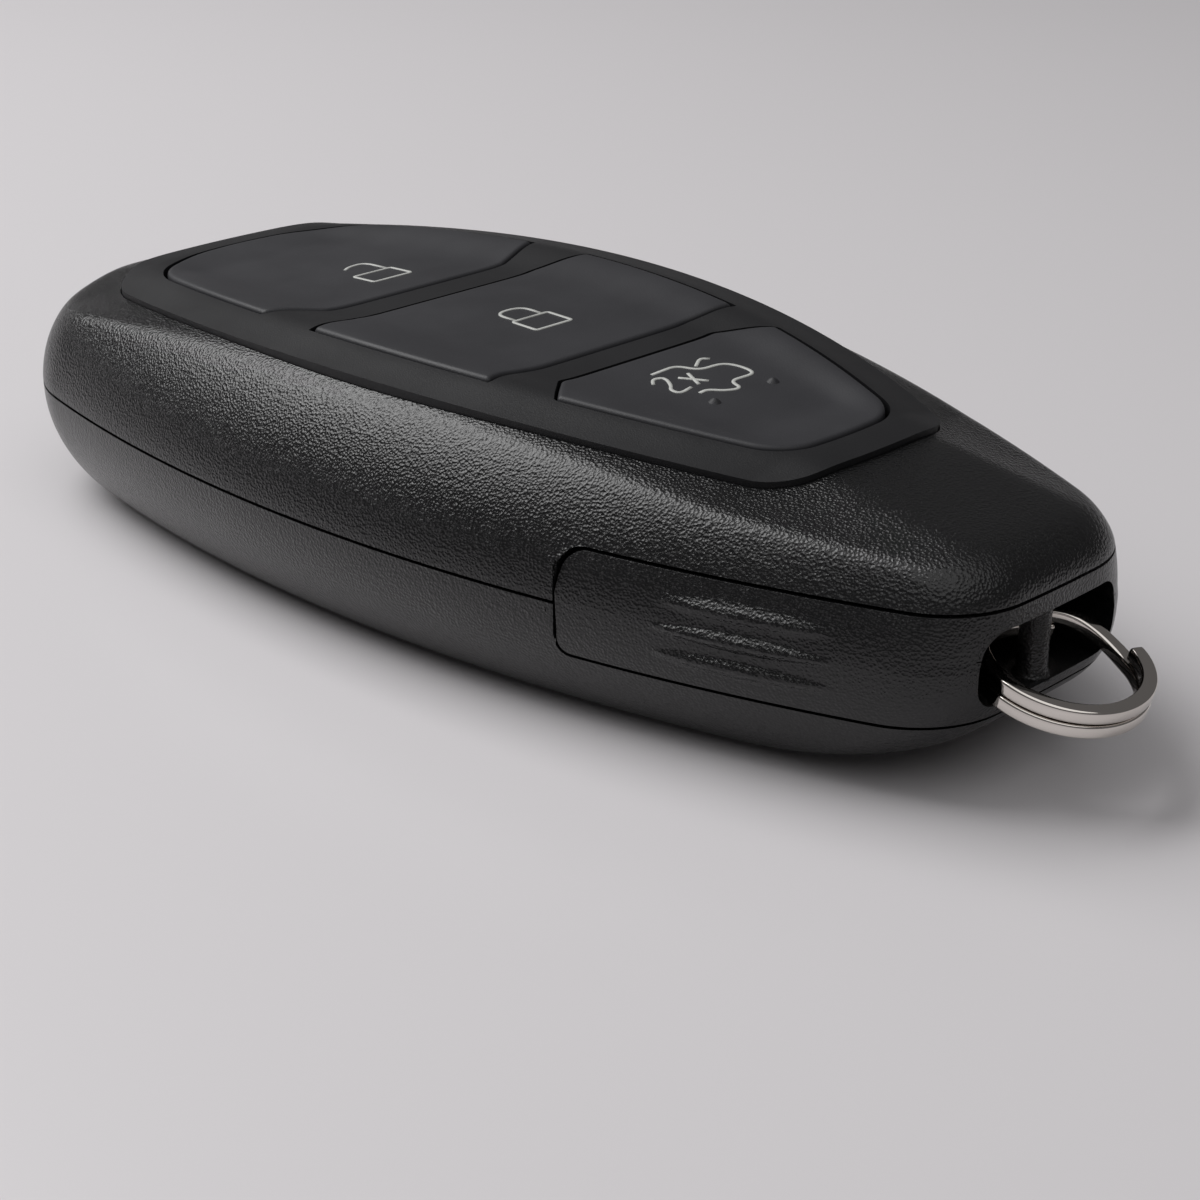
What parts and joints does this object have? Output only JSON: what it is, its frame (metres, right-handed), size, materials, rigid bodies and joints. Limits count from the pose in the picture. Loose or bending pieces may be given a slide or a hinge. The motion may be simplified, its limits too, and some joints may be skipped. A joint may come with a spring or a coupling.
{
  "type": "keyless car key fob",
  "caption": "Rounded black car key fob with a dished button panel, gripped pull-off end cover holding an emergency blade, coin cell inside and a small split ring.",
  "frame": {"origin": "middle of the flat on the back of the case", "axes": "+X towards the key ring, +Y across the case, +Z out of the buttons"},
  "size_m": [0.0856, 0.0392, 0.0169],
  "materials": {
    "shell_plastic": "fine grained moulding",
    "button_plastic": "smooth matt",
    "mat_rubber": "matt silicone",
    "board_laminate": "solder mask",
    "switch_steel": "pressed sheet",
    "plunger_plastic": "moulded",
    "chip_plastic": "moulded",
    "copper": "enamelled wire",
    "cell_steel": "plated",
    "tray_plastic": "moulded",
    "ring_chrome": "bright plated"
  },
  "bodies": {
    "base": {"bottom_cover": "shell_plastic", "inner_tray": "tray_plastic", "circuit_board": "board_laminate", "unlock_switch": "switch_steel", "lock_switch": "switch_steel", "boot_switch": "switch_steel", "controller_chip": "chip_plastic", "radio_chip": "chip_plastic", "crystal": "switch_steel", "small_parts": "chip_plastic", "antenna_core": "chip_plastic", "antenna_winding": "copper", "positive_contact": "cell_steel", "negative_contact": "cell_steel"},
    "top": {"top_cover": "shell_plastic", "button_panel": "button_plastic", "keypad_mat": "mat_rubber"},
    "unlock_key": {"unlock_button": "button_plastic"},
    "lock_key": {"lock_button": "button_plastic"},
    "boot_key": {"boot_button": "button_plastic"},
    "unlock_stem": {"unlock_plunger": "plunger_plastic"},
    "lock_stem": {"lock_plunger": "plunger_plastic"},
    "boot_stem": {"boot_plunger": "plunger_plastic"},
    "cell": {"battery": "cell_steel"},
    "end": {"end_cover": "shell_plastic"},
    "blade": {"key_blade": "cell_steel", "blade_head": "tray_plastic"},
    "ring": {"key_ring": "ring_chrome"}
  },
  "joints": [
    {"name": "open_case", "type": "slide", "parent": "base", "child": "top", "axis": [0, 0, 1], "range_m": [0, 0.03]},
    {"name": "unlock_press", "type": "slide", "parent": "top", "child": "unlock_key", "axis": [0, 0, -1], "range_m": [0, 0.00035], "stiffness_N_per_m": 200, "springref_m": -0.0005, "deforming": ["keypad_mat"]},
    {"name": "lock_press", "type": "slide", "parent": "top", "child": "lock_key", "axis": [0, 0, -1], "range_m": [0, 0.00035], "stiffness_N_per_m": 200, "springref_m": -0.0005, "deforming": ["keypad_mat"]},
    {"name": "boot_press", "type": "slide", "parent": "top", "child": "boot_key", "axis": [0, 0, -1], "range_m": [0, 0.00035], "stiffness_N_per_m": 200, "springref_m": -0.0005, "deforming": ["keypad_mat"]},
    {"name": "unlock_click", "type": "slide", "parent": "base", "child": "unlock_stem", "axis": [0, 0, -1], "range_m": [0, 0.00035]},
    {"name": "lock_click", "type": "slide", "parent": "base", "child": "lock_stem", "axis": [0, 0, -1], "range_m": [0, 0.00035]},
    {"name": "boot_click", "type": "slide", "parent": "base", "child": "boot_stem", "axis": [0, 0, -1], "range_m": [0, 0.00035]},
    {"name": "cell_out", "type": "slide", "parent": "base", "child": "cell", "axis": [0, 0, 1], "range_m": [0, 0.015]},
    {"name": "end_pull", "type": "slide", "parent": "base", "child": "end", "axis": [1, 0, 0], "range_m": [0, 0.06]},
    {"name": "blade_pull", "type": "slide", "parent": "base", "child": "blade", "axis": [1, 0, 0], "range_m": [0, 0.048]},
    {"name": "ring_tilt", "type": "hinge", "parent": "end", "child": "ring", "pos_m": [0.0386, 0, 0.0076], "axis": [0, -1, 0], "range_deg": [0, 15]}
  ],
  "couplings": [
    {"joint": "unlock_click", "follows": "unlock_press", "ratio": 1},
    {"joint": "lock_click", "follows": "lock_press", "ratio": 1},
    {"joint": "boot_click", "follows": "boot_press", "ratio": 1},
    {"joint": "cell_out", "follows": "open_case", "ratio": 0.5},
    {"joint": "blade_pull", "follows": "end_pull", "ratio": 0.8}
  ]
}
